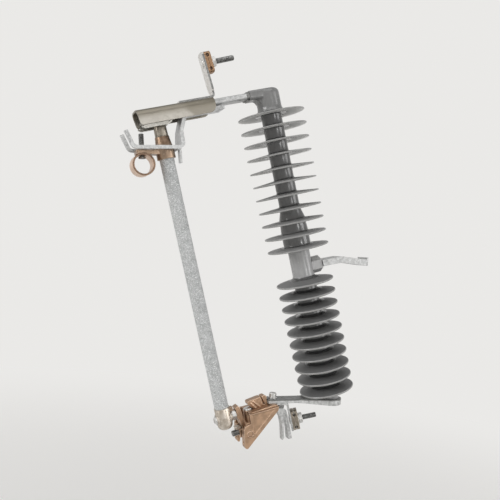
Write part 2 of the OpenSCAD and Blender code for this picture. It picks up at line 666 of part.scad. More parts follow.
module hinge_casting() color(BRONZE) difference() {
    hinge() union() {
        for (s = [-1, 1]) cheek(s);
        // web between the cheeks, clear of the trunnion's sweep, with a seat for the bracket
        across(cheek_gap + eps) polygon([[7, 21.5], [7, block_low], [block_end + 1, block_low],
            [block_end + 1, bracket_foot(block_end + 1)], [51.5, bracket_foot(51.5)], [50, 19.5], [38, 10.5], [27, 11],
            [22, 21.5]]);
        // round column that carries the button between the trunnion's arms
        translate([column_x, 0, column_low]) cylinder(r = column_r, h = block_low - column_low);
    }
    hinge() cross_rod(pin_d + 2 * pin_clearance, cheek_gap + 4 * cheek_t);
    bracket_frame() translate([bracket_bolt_x, 0, -bracket_t - bracket_bolt_grip])
        cylinder(d = bracket_bolt_d, h = bracket_bolt_grip + 10);
}

// a block with a wedge-shaped pocket and two slanting ribs on each side
block_foot_x = 18.5;        // where the block's sloping underside meets its seat
pocket_d = 4;
module hinge_block() color(BRONZE) hinge() difference() {
    union() {
        across(block_w) polygon([[block_foot_x, block_low], [block_x, 36], [block_x, 39.6], [block_x + 1.5, 40.7],
            [block_end - 2.5, 41.8], [block_end, 39.5], [block_end - 1, block_low]]);
        intersection() {
            across(block_w + 2) for (rib = [[[14.8, 37.4], [21.5, 26.7]], [[18.6, 38.9], [28.6, 26.7]]])
                polygon(strip(rib, 1.6));
            across(block_w + 2) polygon([[block_foot_x, block_low], [block_x, 36], [block_x, 39.6], [30, 40.7],
                [30, block_low]]);
        }
    }
    for (s = [-1, 1]) across(2 * pocket_d, s * block_w / 2) polygon([[32, 43], [32.1, 39.7], [33.2, block_low + 1.5],
        [36.8, block_low + 1.5], [33.6, 39.7], [33.6, 43]]);
}

module hinge_button() color(BRIGHT) hinge() translate([button_x, 0, block_low]) {
    cylinder(d = 13, h = 1);
    translate([0, 0, 1]) cylinder(d1 = 13, d2 = 7, h = 2);
}

module hinge_bolt() color(BRIGHT) bracket_frame() translate([bracket_bolt_x, 0, 0]) {
    cylinder(d = 13, h = 1.6);
    translate([0, 0, 1.6]) cylinder(d = 11, h = 5);
    translate([0, 0, 6.6]) cylinder(d1 = 11, d2 = 6, h = 2.4);
    translate([0, 0, -bracket_t - bracket_bolt_grip]) cylinder(d = bracket_bolt_d, h = bracket_t + bracket_bolt_grip);
}

// ---- fuseholder --------------------------------------------------------------------------------------

lever_path = [[-7.2, 38.5], [-4.3, 29.5], [-4.1, 17], [-1.5, 3]];
lever_t = 6.2;
lever_w = 14;               // width of the lever across the symmetry plane
tube_low = 31;              // lower end of the tube above the pins
tube_top = 418;
ferrule_top = 43;
ferrule_low = 10.5;
ferrule_bolt_z = 27;
pad_reach = 11.5;           // flat pads of the ferrule, from the tube's axis
ferrule_nut_t = 6.8;
stud_d = 7;
stud_x = -tube_off + pad_reach + ferrule_nut_t;
link_x = -10.5;             // front of the lever's foot, where the link stud is screwed in

module holder_axis() hinge() translate([-tube_off, 0, 0]) children();

// a flat lever that carries the ferrule, on a foot with the two hinge pins
module trunnion() color(BRONZE) hinge() {
    across(lever_w) {
        polygon(strip(bent(lever_path, 14), lever_t));
        polygon([[link_x, 4.5], [link_x, -6.5], [link_x + 2, -8], [2, -8], [5, -5], [5, 3], [2, 6], [-4, 6], [-6, 4.5]]);
        polygon([[stud_x, 20.5], [-3, 20.5], [-3, 33], [stud_x, 33]]);
    }
    cross_rod(pin_d, cheek_gap + 2 * cheek_t);
    translate([-tube_off + tube_bore / 2 + 0.5, 0, ferrule_bolt_z]) rod(stud_d, stud_x + tube_off - tube_bore / 2);
}

module link_stud() color(DARK_STEEL) hinge() translate([link_x - 10, 0, 0]) rod(9, 10);
module link_boss() color(TAN) hinge() across(9) polygon([[link_x - 5, 9.5], [link_x - 3.5, 5.2],
    [link_x, 4.5], [-6, 4.5], [-6, 8]]);

module fuse_tube() color(TUBE_GREY) holder_axis() translate([0, 0, tube_low]) difference() {
    cylinder(d = tube_d, h = tube_top - tube_low);
    translate([0, 0, -1]) cylinder(d = tube_bore, h = tube_top - tube_low + 2);
}

ferrule_round = 8;
module lower_ferrule() color(TAN) holder_axis() difference() {
    union() {
        rotate_extrude() polygon(concat([[0, ferrule_low]],
            arc([ferrule_d / 2 - ferrule_round, ferrule_low + ferrule_round], ferrule_round, -90, 0),
            [[ferrule_d / 2, ferrule_top], [0, ferrule_top]]));
        translate([-pad_reach, 0, ferrule_bolt_z]) rod(16, 2 * pad_reach);
    }
    translate([0, 0, tube_low]) cylinder(d = tube_d, h = 40);
    translate([0, 0, ferrule_low - 1]) cylinder(d = tube_bore, h = 40);
    translate([-pad_reach - 1, 0, ferrule_bolt_z]) rod(stud_d, 2 * pad_reach + 2);
}

module ferrule_bolt() color(BRIGHT) holder_axis() translate([-pad_reach, 0, ferrule_bolt_z]) difference() {
    union() {
        translate([-1, 0, 0]) rod(13, 1);
        rotate([0, -90, 0]) translate([0, 0, 1]) cylinder(d1 = 13, d2 = 7, h = 2.5);
        rod(stud_d, pad_reach - tube_bore / 2 - 0.5);
    }
    translate([-4.5, -0.8, -7]) cube([2, 1.6, 14]);
}
module ferrule_nut() color(BRIGHT) holder_axis() translate([pad_reach, 0, ferrule_bolt_z]) rotate([0, 90, 0])
    difference() {
        nut(13.5, ferrule_nut_t);
        translate([0, 0, -1]) cylinder(d = stud_d, h = ferrule_nut_t + 2);
    }
module ferrule_key() color(BRONZE) holder_axis() difference() {
    translate([0, -7.5, 35.5]) cube([14, 6, 6.5]);
    cylinder(d = ferrule_d, h = 60);
}

clamp_low = 406;
band_d = 26;
clamp_top = 422;
collar_top = 437;
cap_z = 456;
ring_x = -35;
ring_z = clamp_low - 2;     // the ring's middle is a little below the band's lower edge
ring_tilt = 10;
lug_t = 4.5;
lug_w = 18;
lug_l = 34;
lug_start = -9;
ring_bolt_d = 7.5;

module ring_frame() holder_axis() translate([ring_x, 0, ring_z]) rotate([0, ring_tilt, 0]) children();

// a band round the tube's top with a lug that reaches over the pull ring
module ring_clamp() color(BRONZE) difference() {
    union() {
        holder_axis() translate([0, 0, clamp_low]) cylinder(d = band_d, h = clamp_top - clamp_low);
        ring_frame() translate([lug_start, -lug_w / 2, ring_d / 2 - 1.5]) cube([lug_l, lug_w, lug_t + 1.5]);
    }
    holder_axis() translate([0, 0, clamp_low - 1]) cylinder(d = tube_d, h = tube_top - clamp_low + 1);
    holder_axis() translate([0, 0, clamp_low]) cylinder(d = tube_bore, h = clamp_top - clamp_low + 1);
    ring_frame() cross_rod(ring_d, 2 * ring_w);
    ring_frame() cylinder(d = ring_bolt_d, h = 2 * ring_d);
}

module cap_collar() color(BRONZE) holder_axis() translate([0, 0, clamp_top]) difference() {
    union() {
        cylinder(d1 = 24, d2 = 20.5, h = 11);
        translate([0, 0, 11]) cylinder(d = 20.5, h = collar_top - clamp_top - 11);
    }
    translate([0, 0, -1]) cylinder(d = tube_bore, h = 40);
}

cap_wall = 2.75; // side wall at the cap's foot
cap_roof = 3;    // closed end over the fuse link's button

module tube_cap() color(BRIGHT) holder_axis() translate([0, 0, collar_top]) difference() {
    union() {
        cylinder(d1 = 19.5, d2 = 17.5, h = cap_z - collar_top - 1.5);
        translate([0, 0, cap_z - collar_top - 1.5]) cylinder(d1 = 17.5, d2 = 14.5, h = 1.5);
    }
    translate([0, 0, -1]) cylinder(d = 19.5 - 2 * cap_wall, h = cap_z - collar_top - cap_roof + 1);
}

module pull_ring() color(BRONZE) ring_frame() difference() {
    cross_rod(ring_d, ring_w);
    cross_rod(ring_bore, ring_w + 2);
    cylinder(d = ring_bolt_d, h = 40);
}

ring_head_z = 8.6;
ring_head_t = 2.6;
module ring_bolt() color(DARK_STEEL) ring_frame() {
    translate([0, 0, ring_head_z]) cylinder(d = 10, h = ring_head_t);
    translate([0, 0, ring_head_z]) cylinder(d = ring_bolt_d, h = 34);
}
module ring_nut() color(DARK_STEEL) ring_frame() translate([0, 0, ring_d / 2 + lug_t]) difference() {
    nut(12, 5);
    translate([0, 0, -1]) cylinder(d = ring_bolt_d, h = 10);
}

// ---- nodes -------------------------------------------------------------------------------------------

upper_housing();
middle_sleeve();
lower_housing();
top_cap();
bottom_fitting();
mounting_boss();
mounting_arm();
top_bar();
bar_collar();
hood();
upper_contact();
hook_strap();
top_terminal_strap();
top_clamp_body();
top_clamp_keeper();
top_clamp_bolt();
top_clamp_nut();
lower_bracket();
hinge_casting();
hinge_block();
hinge_button();
hinge_bolt();
hanger_leg();
foot_bolt();
foot_nut();
lower_terminal_strap();
lower_clamp_body();
lower_clamp_keeper();
lower_clamp_bolt();
lower_clamp_nut();
trunnion();
link_stud();
link_boss();
fuse_tube();
tube_cap();
cap_collar();
ring_clamp();
pull_ring();
ring_bolt();
ring_nut();
lower_ferrule();
ferrule_bolt();
ferrule_nut();
ferrule_key();
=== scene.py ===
"""Looks of the fuse cutout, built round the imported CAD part.

Pieces are drawn in millimetres in the part's own frames (insulator, head, hinge, fuseholder), as in the CAD.
"""

import json
import math

import bmesh
import bpy
from mathutils import Matrix, Vector, noise

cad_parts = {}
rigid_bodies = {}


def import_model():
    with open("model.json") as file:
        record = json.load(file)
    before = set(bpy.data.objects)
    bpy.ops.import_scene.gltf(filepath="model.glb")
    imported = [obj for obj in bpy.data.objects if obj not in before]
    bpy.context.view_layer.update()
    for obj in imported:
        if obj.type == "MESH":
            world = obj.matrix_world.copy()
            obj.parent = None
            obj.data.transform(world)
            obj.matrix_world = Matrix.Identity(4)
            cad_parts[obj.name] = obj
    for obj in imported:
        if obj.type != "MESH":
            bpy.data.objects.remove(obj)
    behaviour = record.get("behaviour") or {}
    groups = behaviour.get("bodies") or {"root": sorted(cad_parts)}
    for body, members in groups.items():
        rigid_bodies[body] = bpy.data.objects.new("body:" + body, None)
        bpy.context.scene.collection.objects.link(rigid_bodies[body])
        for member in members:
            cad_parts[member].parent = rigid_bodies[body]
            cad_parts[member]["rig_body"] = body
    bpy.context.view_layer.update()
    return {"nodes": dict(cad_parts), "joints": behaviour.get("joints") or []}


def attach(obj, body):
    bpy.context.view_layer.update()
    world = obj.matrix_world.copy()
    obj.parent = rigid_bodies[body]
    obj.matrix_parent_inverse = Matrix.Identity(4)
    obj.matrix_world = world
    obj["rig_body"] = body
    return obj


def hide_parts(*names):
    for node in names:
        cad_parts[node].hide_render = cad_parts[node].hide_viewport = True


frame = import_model()
nodes = frame["nodes"]
MM = 0.001


# ---- frames ------------------------------------------------------------------------------------------

def shift(x=0.0, y=0.0, z=0.0):
    return Matrix.Translation((x * MM, y * MM, z * MM))


def about_y(degrees):
    return Matrix.Rotation(math.radians(degrees), 4, "Y")


def about_z(degrees):
    return Matrix.Rotation(math.radians(degrees), 4, "Z")


LEAN = 20.0  # degrees of the insulator from plumb
HEAD_TILT = 1.5  # degrees of the top bar from square to the insulator
PIVOT_X, PIVOT_Z = -141.7, -214.9  # the hinge pins in the insulator's frame
HEAD_Z = 259.7  # the top bar's middle on the insulator's axis
TUBE_OFF = 27.5  # the tube's axis in front of the hinge pins
RING_AT = (-35, 0, 404)  # the pull ring's middle in the fuseholder's frame
TOP_STRAP_AT = (-82, 0, 7)  # the foot of the top terminal strap in the head's frame
BRACKET_Z = -210.9  # the bracket's upper face on the insulator's axis
BRACKET_FALL = 17.0  # degrees of the bracket from square to the insulator
FOOT_AT = (-79, 0, -192.499)  # the seat of the hanger leg in the insulator's frame
LOW_PAD_X = 12  # the lower terminal's pad beyond that seat

ALONG_X = about_y(90)  # turns a piece drawn along z to lie along x
UPSIDE_DOWN = Matrix.Rotation(math.pi, 4, "X")

HINGE = Matrix.Translation(frame["joints"][0]["pos_m"]) @ about_y(-LEAN)
AXIS = HINGE @ shift(-PIVOT_X, 0, -PIVOT_Z)  # the insulator's frame
HEAD = AXIS @ shift(0, 0, HEAD_Z) @ about_y(-HEAD_TILT)
HOLDER = HINGE @ shift(-TUBE_OFF)
RING = HOLDER @ shift(*RING_AT) @ about_y(10)
TOP_CLAMP = HEAD @ shift(*TOP_STRAP_AT) @ about_y(-3) @ shift(0, 0, 49.5)
BRACKET = AXIS @ shift(0, 0, BRACKET_Z) @ about_y(BRACKET_FALL)
FOOT = AXIS @ shift(*FOOT_AT)
SEAT = FOOT @ about_y(BRACKET_FALL)
LOW_CLAMP = FOOT @ shift(LOW_PAD_X) @ about_z(-20) @ shift(0, 0, -32.5)


# ---- materials ---------------------------------------------------------------------------------------

class Shade:
    """A node material on a Principled shader, with short helpers for its textures."""

    def __init__(self, name, metallic=0.0, **constants):
        self.material = bpy.data.materials.new(name)
        self.material.use_nodes = True
        self.tree = self.material.node_tree
        self.tree.nodes.clear()
        out = self.tree.nodes.new("ShaderNodeOutputMaterial")
        self.bsdf = self.tree.nodes.new("ShaderNodeBsdfPrincipled")
        self.link(self.bsdf.outputs[0], out.inputs["Surface"])
        self.bsdf.inputs["Metallic"].default_value = metallic
        for key, value in constants.items():
            self.bsdf.inputs[key.replace("_", " ")].default_value = value
        place = self.node("ShaderNodeTexCoord").outputs["Object"]
        self.place = self.mapping(place, (1000, 1000, 1000))  # millimetres

    def node(self, kind, **settings):
        made = self.tree.nodes.new(kind)
        for key, value in settings.items():
            setattr(made, key, value)
        return made

    def link(self, a, b):
        self.tree.links.new(a, b)

    def feed(self, socket, value):
        if isinstance(value, (int, float, tuple)):
            socket.default_value = value
        else:
            self.link(value, socket)

    def mapping(self, source, scale):
        made = self.node("ShaderNodeMapping")
        self.link(source, made.inputs["Vector"])
        made.inputs["Scale"].default_value = scale
        return made.outputs[0]

    def noise(self, size, detail=3.0, stretch=(1, 1, 1), roughness=0.55, distortion=0.0):
        """Noise whose blotches are about size millimetres across; 0 to 1."""
        made = self.node("ShaderNodeTexNoise")
        self.link(self.mapping(self.place, tuple(s / size for s in stretch)), made.inputs["Vector"])
        made.inputs["Scale"].default_value = 1.0
        made.inputs["Detail"].default_value = detail
        made.inputs["Roughness"].default_value = roughness
        made.inputs["Distortion"].default_value = distortion
        return made.outputs["Fac"]

    def spangle(self, size):
        """Grey patches with sharp borders, each about size millimetres across."""
        made = self.node("ShaderNodeTexVoronoi")
        self.link(self.mapping(self.place, (1 / size,) * 3), made.inputs["Vector"])
        made.inputs["Scale"].default_value = 1.0
        grey = self.node("ShaderNodeRGBToBW")
        self.link(made.outputs["Color"], grey.inputs[0])
        return grey.outputs[0]

    def mix(self, factor, a, b):
        made = self.node("ShaderNodeMix", data_type="RGBA")
        self.feed(made.inputs[0], factor)
        for socket, value in ((made.inputs[6], a), (made.inputs[7], b)):
            if isinstance(value, tuple):
                value = (*value, 1)
            self.feed(socket, value)
        return made.outputs[2]

    def math(self, operation, a, b=0.0, c=0.0):
        made = self.node("ShaderNodeMath", operation=operation)
        for socket, value in zip(made.inputs, (a, b, c)):
            self.feed(socket, value)
        return made.outputs[0]

    def spread(self, value, low, high, to_low=0.0, to_high=1.0):
        """Carries the range low to high over to to_low to to_high, easing in and out."""
        made = self.node("ShaderNodeMapRange", interpolation_type="SMOOTHSTEP")
        self.feed(made.inputs[0], value)
        for socket, number in zip(list(made.inputs)[1:5], (low, high, to_low, to_high)):
            socket.default_value = number
        return made.outputs[0]

    def axis(self, name):
        made = self.node("ShaderNodeSeparateXYZ")
        self.link(self.place, made.inputs[0])
        return made.outputs[name]

    def radius(self):
        """Distance from the piece's own z axis, in millimetres."""
        x, y = self.axis("X"), self.axis("Y")
        return self.math("SQRT", self.math("ADD", self.math("MULTIPLY", x, x), self.math("MULTIPLY", y, y)))

    def within(self, frame_matrix):
        """Where a point of a CAD node lies along the x and z of one of the part's frames, in millimetres."""
        local = frame_matrix.inverted()
        coordinates = []
        for row in (local[0], local[2]):
            made = self.node("ShaderNodeVectorMath", operation="DOT_PRODUCT")
            self.link(self.place, made.inputs[0])
            made.inputs[1].default_value = tuple(row[:3])
            coordinates.append(self.math("ADD", made.outputs["Value"], row[3] / MM))
        return coordinates

    def facing_up(self):
        """From -1 where the piece's surface faces down its own z to 1 where it faces up."""
        made = self.node("ShaderNodeSeparateXYZ")
        normal = self.node("ShaderNodeTexCoord").outputs["Normal"]
        self.link(normal, made.inputs[0])
        return made.outputs["Z"]

    def pointiness(self):
        """Above 0.5 along the edges of a finely meshed piece and below it in the hollows."""
        return self.node("ShaderNodeNewGeometry").outputs["Pointiness"]

    def finish(self, colour, roughness, bump, depth, bevel=0.0):
        """Wires the base colour, the roughness and the bump; depth and bevel are in millimetres."""
        self.feed(self.bsdf.inputs["Base Color"], colour)
        self.feed(self.bsdf.inputs["Roughness"], roughness)
        made = self.node("ShaderNodeBump")
        made.inputs["Distance"].default_value = depth * MM
        made.inputs["Strength"].default_value = 1.0
        self.link(bump, made.inputs["Height"])
        if bevel:
            rounded = self.node("ShaderNodeBevel", samples=4)
            rounded.inputs["Radius"].default_value = bevel * MM
            self.link(rounded.outputs[0], made.inputs["Normal"])
        self.link(made.outputs[0], self.bsdf.inputs["Normal"])
        return self.material


def scaled(tone, factor):
    return tuple(c * factor for c in tone)


def shed_rubber(name, core, skirt, underside):
    """Silicone rubber of the sheds: a glossy core darkened with painted shade, and dusty sheds whose
    undersides are paled with painted light from below.
    """
    s = Shade(name, Specular_IOR_Level=0.8)
    out = s.spread(s.radius(), 22.0, 26.0)
    cloud = s.noise(26, detail=3)
    below = (underside, underside, underside * 0.98)
    # surfaces that face down take the underside colour: painted light bounced up from the floor
    painted_bounce = s.mix(s.spread(s.facing_up(), -0.75, -0.35), below, (skirt,) * 3)
    # the core inside the sheds' roots takes the darker core colour: painted shade between the sheds
    colour = s.mix(out, (core,) * 3, painted_bounce)
    colour = s.mix(s.math("MULTIPLY", cloud, 0.2), colour, (skirt * 1.5, skirt * 1.5, skirt * 1.47))
    colour = s.mix(s.spread(s.noise(1.3, detail=2), 0.62, 0.75, 0, 0.10), colour, (0.42, 0.41, 0.39))
    rough = s.math("ADD", s.spread(cloud, 0.3, 0.7, -0.04, 0.05), s.math("MULTIPLY_ADD", out, 0.26, 0.22))
    return s.finish(colour, rough, s.noise(0.9, detail=2), depth=0.03)


def plain_rubber(name, tone, spot):
    """Moulded rubber with faint vertical flow streaks and dust."""
    s = Shade(name, Specular_IOR_Level=0.8)
    streak = s.noise(3.4, detail=2, stretch=(1, 1, 0.08))
    cloud = s.noise(17, detail=3)
    base = s.mix(s.spread(streak, 0.35, 0.7, 0.0, 0.45), tone, spot)
    base = s.mix(s.spread(cloud, 0.35, 0.75, 0.0, 0.35), base, scaled(tone, 0.78))
    return s.finish(base, s.spread(cloud, 0.3, 0.7, 0.22, 0.29), s.noise(0.8, detail=2), depth=0.02)


def galvanised(name, pale, dark, painted_shade_frame=None):
    """Hot-dip zinc: soft grey clouds, a few darker runs and a rough dull skin. The last argument is the frame
    of a plate whose upper face and top edge are darkened with painted shade."""
    s = Shade(name, 0.55)
    blotch = s.noise(4.0, detail=5, roughness=0.6)
    colour = s.mix(s.spread(blotch, 0.36, 0.64), dark, pale)
    colour = s.mix(0.10, colour, s.spangle(2.2))
    colour = s.mix(s.spread(s.noise(9, detail=4), 0.57, 0.72, 0, 0.55), colour, scaled(dark, 0.45))
    if painted_shade_frame:
        # the plate's upper face and top edge darken towards near black: painted shade
        height = s.math("ADD", s.within(painted_shade_frame)[1], s.math("MULTIPLY", s.noise(5, detail=4), 1.4))
        colour = s.mix(s.spread(height, -1.7, -0.7, 0, 0.85), colour, (0.11, 0.11, 0.105))
    rough = s.spread(blotch, 0.3, 0.7, 0.30, 0.52)
    return s.finish(colour, rough, blotch, depth=0.16, bevel=0.5)


def satin_sheet():
    """Warm stainless sheet of the hood with fine lines, darkened along the top and in a patch inboard:
    painted dark reflection.
    """
    s = Shade("satin_sheet", 0.85)
    lines = s.noise(0.7, detail=3, stretch=(0.05, 1, 1))
    cloud = s.noise(22, detail=4)
    colour = s.mix(s.spread(cloud, 0.36, 0.68), (0.40, 0.375, 0.335), (0.49, 0.465, 0.42))
    colour = s.mix(s.spread(lines, 0.45, 0.75, 0, 0.25), colour, (0.60, 0.57, 0.52))
    along, up = s.within(HEAD)
    # darker towards the top: painted dark reflection
    height = s.math("ADD", up, s.math("MULTIPLY", cloud, 3.0))
    colour = s.mix(s.spread(height, -8.0, 3.0, 0, 0.8), colour, (0.22, 0.195, 0.15))
    # a patch inboard of a curved border: painted dark reflection
    curve = s.math("SUBTRACT", along, s.math("MULTIPLY", s.math("MULTIPLY", up, up), 0.045))
    border = s.math("ADD", curve, s.math("MULTIPLY", s.noise(3, detail=4), 7.0))
    colour = s.mix(s.spread(border, -134.0, -123.0, 0, 0.7), colour, (0.20, 0.18, 0.14))
    dull = s.noise(11, detail=5, stretch=(1, 1, 2), roughness=0.7)
    colour = s.mix(s.spread(dull, 0.50, 0.70, 0, 0.4), colour, (0.28, 0.26, 0.22))
    rough = s.math("ADD", s.spread(cloud, 0.3, 0.7, 0.32, 0.42), s.spread(lines, 0.4, 0.8, 0.0, 0.10))
    return s.finish(colour, rough, lines, depth=0.03, bevel=0.5)


def polished_sheet():
    """Plated strip of the top terminal, bright enough to show the room, with a few dark specks."""
    s = Shade("polished_sheet", 0.7)
    cloud = s.noise(7, detail=4)
    colour = s.mix(s.spread(cloud, 0.35, 0.7), (0.63, 0.61, 0.58), (0.80, 0.79, 0.77))
    specks = s.noise(2.6, detail=5, roughness=0.7)
    colour = s.mix(s.spread(specks, 0.60, 0.70, 0, 0.5), colour, (0.26, 0.24, 0.22))
    rough = s.spread(cloud, 0.3, 0.7, 0.32, 0.44)
    return s.finish(colour, rough, s.noise(1.2, detail=3), depth=0.02, bevel=0.4)


def bright_plate():
    """Nickel- or zinc-plated small hardware."""
    s = Shade("bright_plate", 0.9)
    cloud = s.noise(3, detail=4)
    colour = s.mix(s.spread(cloud, 0.35, 0.7), (0.52, 0.51, 0.49), (0.76, 0.755, 0.74))
    return s.finish(colour, s.spread(cloud, 0.3, 0.7, 0.28, 0.42), cloud, depth=0.03, bevel=0.35)


def dark_steel():
    """Oiled grey steel of the bolts."""
    s = Shade("dark_steel", 0.9)
    cloud = s.noise(2.2, detail=4)
    colour = s.mix(s.spread(cloud, 0.35, 0.7), (0.15, 0.15, 0.147), (0.34, 0.34, 0.33))
    return s.finish(colour, s.spread(cloud, 0.3, 0.7, 0.32, 0.5), cloud, depth=0.05, bevel=0.25)


def cast_bronze(name, tone, pale):
    """Sand-cast bronze: grainy skin, browner in the hollows, rubbed paler on the edges."""
    s = Shade(name, 0.78)
    cloud = s.noise(9, detail=4)
    grain = s.noise(0.8, detail=3)
    colour = s.mix(s.spread(cloud, 0.33, 0.68), scaled(tone, 0.80), scaled(tone, 1.12))
    colour = s.mix(s.spread(s.pointiness(), 0.50, 0.57), colour, pale)
    colour = s.mix(s.spread(s.pointiness(), 0.40, 0.49, 0.75, 0.0), colour, scaled(tone, 0.32))
    rough = s.spread(grain, 0.3, 0.7, 0.28, 0.42)
    return s.finish(colour, rough, grain, depth=0.10)


def smooth_metal(name, tone, pale):
    """Turned or rolled metal with a soft sheen and a few tarnished spots."""
    s = Shade(name, 0.85)
    cloud = s.noise(6, detail=4)
    spots = s.noise(2, detail=5, roughness=0.7)
    colour = s.mix(s.spread(cloud, 0.35, 0.7), tone, pale)
    colour = s.mix(s.spread(spots, 0.62, 0.72, 0, 0.35), colour, scaled(tone, 0.5))
    rough = s.spread(cloud, 0.3, 0.7, 0.28, 0.42)
    return s.finish(colour, rough, s.noise(1.0, detail=3), depth=0.05, bevel=0.4)


def wound_fibre():
    """Glass-fibre tube: pale grey windings, short dark dashes across them and frosted white flecks."""
    s = Shade("wound_fibre")
    fleck = s.noise(1.5, detail=4, stretch=(1, 1, 1.4), roughness=0.7, distortion=0.6)
    patch = s.noise(8, detail=3)
    dash = s.noise(1.8, detail=3, stretch=(0.8, 0.8, 2.2), distortion=0.5)
    colour = s.mix(s.spread(patch, 0.36, 0.64), (0.39, 0.40, 0.40), (0.47, 0.48, 0.48))
    colour = s.mix(s.spread(dash, 0.50, 0.64, 0, 0.65), colour, (0.21, 0.22, 0.22))
    colour = s.mix(s.spread(fleck, 0.52, 0.62, 0, 0.9), colour, (0.90, 0.91, 0.91))
    return s.finish(colour, s.spread(fleck, 0.4, 0.7, 0.55, 0.30), fleck, depth=0.5)


MATERIALS = {
    # core, shed and underside colours: the core is painted shade, the pale undersides painted light from
    # below; the lower rubber is a darker copy carrying painted shade from the sheds above
    "upper_rubber": shed_rubber("upper_rubber", 0.08, 0.24, 0.72),
    "lower_rubber": shed_rubber("lower_rubber", 0.05, 0.125, 0.20),
    # paler than the sheds: painted highlight along the rims
    "rim_rubber": plain_rubber("rim_rubber", (0.26, 0.26, 0.255), (0.33, 0.33, 0.325)),
    "cap_rubber": plain_rubber("cap_rubber", (0.18, 0.18, 0.178), (0.23, 0.23, 0.227)),
    "sleeve_rubber": plain_rubber("sleeve_rubber", (0.31, 0.31, 0.312), (0.43, 0.43, 0.43)),
    "boss_rubber": plain_rubber("boss_rubber", (0.46, 0.46, 0.46), (0.58, 0.58, 0.575)),
    "galvanised": galvanised("galvanised", (0.60, 0.605, 0.60), (0.40, 0.405, 0.40)),
    "smoky_plate": smooth_metal("smoky_plate", (0.34, 0.33, 0.30), (0.55, 0.53, 0.49)),
    # its upper face and top edge are darkened with painted shade
    "bracket_zinc": galvanised("bracket_zinc", (0.60, 0.605, 0.60), (0.42, 0.425, 0.42), painted_shade_frame=BRACKET),
    "pale_zinc": galvanised("pale_zinc", (0.70, 0.705, 0.71), (0.54, 0.545, 0.55)),
    "satin_sheet": satin_sheet(),
    "polished_sheet": polished_sheet(),
    "bright_plate": bright_plate(),
    "dark_steel": dark_steel(),
    "cast_bronze": cast_bronze("cast_bronze", (0.43, 0.28, 0.183), (0.71, 0.53, 0.40)),
    "ring_bronze": smooth_metal("ring_bronze", (0.62, 0.42, 0.30), (0.80, 0.62, 0.48)),
    "clamp_bronze": cast_bronze("clamp_bronze", (0.34, 0.205, 0.12), (0.50, 0.33, 0.20)),
    "edge_bronze": smooth_metal("edge_bronze", (0.19, 0.12, 0.08), (0.29, 0.195, 0.135)),
    "collar_bronze": smooth_metal("collar_bronze", (0.20, 0.13, 0.085), (0.29, 0.205, 0.145)),
    "brown_bronze": cast_bronze("brown_bronze", (0.33, 0.235, 0.165), (0.50, 0.38, 0.29)),
    "grey_bronze": cast_bronze("grey_bronze", (0.27, 0.235, 0.19), (0.46, 0.41, 0.34)),
    "cap_metal": smooth_metal("cap_metal", (0.28, 0.245, 0.20), (0.40, 0.36, 0.305)),
    "tan_bronze": smooth_metal("tan_bronze", (0.46, 0.40, 0.33), (0.66, 0.60, 0.53)),
    "wound_fibre": wound_fibre(),
}


# ---- shapes ------------------------------------------------------------------------------------------

def add_piece(name, vertices, faces, place, material, body, slot, replaces=(), sharp=35.0):
    """A mesh drawn in millimetres in the frame place; edges bent by more than sharp degrees stay crisp."""
    mesh = bpy.data.meshes.new(name)
    mesh.from_pydata([tuple(c * MM for c in v) for v in vertices], [], faces)
    tidy = bmesh.new()
    tidy.from_mesh(mesh)
    bmesh.ops.remove_doubles(tidy, verts=tidy.verts, dist=1e-7)
    bmesh.ops.recalc_face_normals(tidy, faces=tidy.faces)
    tidy.to_mesh(mesh)
    tidy.free()
    piece = bpy.data.objects.new(name, mesh)
    bpy.context.scene.collection.objects.link(piece)
    piece.matrix_world = place
    mesh.materials.append(MATERIALS[material])
    shade_by_angle(mesh, sharp)
    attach(piece, body)
    if replaces:
        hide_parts(*replaces)
    return piece


def shade_by_angle(mesh, degrees):
    mesh.polygons.foreach_set("use_smooth", [True] * len(mesh.polygons))
    mesh.set_sharp_from_angle(angle=math.radians(degrees))


def paint_faces(piece, material, chosen):
    """Gives the faces that chosen picks a further material."""
    piece.data.materials.append(MATERIALS[material])
    slot = len(piece.data.materials) - 1
    for face in piece.data.polygons:
        if chosen(face):
            face.material_index = slot


def lathe(profile, segments):
    """Vertices and faces of a profile of (radius, height) turned about z. Ends on the axis are closed."""
    vertices, faces, rings = [], [], []
    for r, z in profile:
        if r < 1e-6:
            rings.append([len(vertices)])
            vertices.append((0.0, 0.0, z))
        else:
            rings.append(list(range(len(vertices), len(vertices) + segments)))
            for i in range(segments):
                a = 2 * math.pi * i / segments
                vertices.append((r * math.cos(a), r * math.sin(a), z))
    for low, high in zip(rings, rings[1:]):
        for i in range(segments):
            j = (i + 1) % segments
            if len(low) == 1 and len(high) > 1:
                faces.append((low[0], high[j], high[i]))
            elif len(high) == 1 and len(low) > 1:
                faces.append((low[i], low[j], high[0]))
            elif len(low) > 1:
                faces.append((low[i], low[j], high[j], high[i]))
    return vertices, faces


def skin(rings, closed):
    """Vertices and faces through rings of (radii, height); a closed skin joins the last ring to the first."""
    segments = len(rings[0][0])
    vertices, faces = [], []
    for radii, z in rings:
        for i, r in enumerate(radii):
            a = 2 * math.pi * i / segments
            vertices.append((r * math.cos(a), r * math.sin(a), z))
    for k in range(len(rings) if closed else len(rings) - 1):
        low, high = k * segments, (k + 1) % len(rings) * segments
        for i in range(segments):
            j = (i + 1) % segments
            faces.append((low + i, low + j, high + j, high + i))
    return vertices, faces


def arc(r0, z0, radius, start, end, steps=6):
    """Points of (radius, height) along an arc about (r0, z0), from start to end in degrees."""
    turns = [math.radians(start + (end - start) * i / steps) for i in range(steps + 1)]
    return [(r0 + radius * math.cos(turn), z0 + radius * math.sin(turn)) for turn in turns]


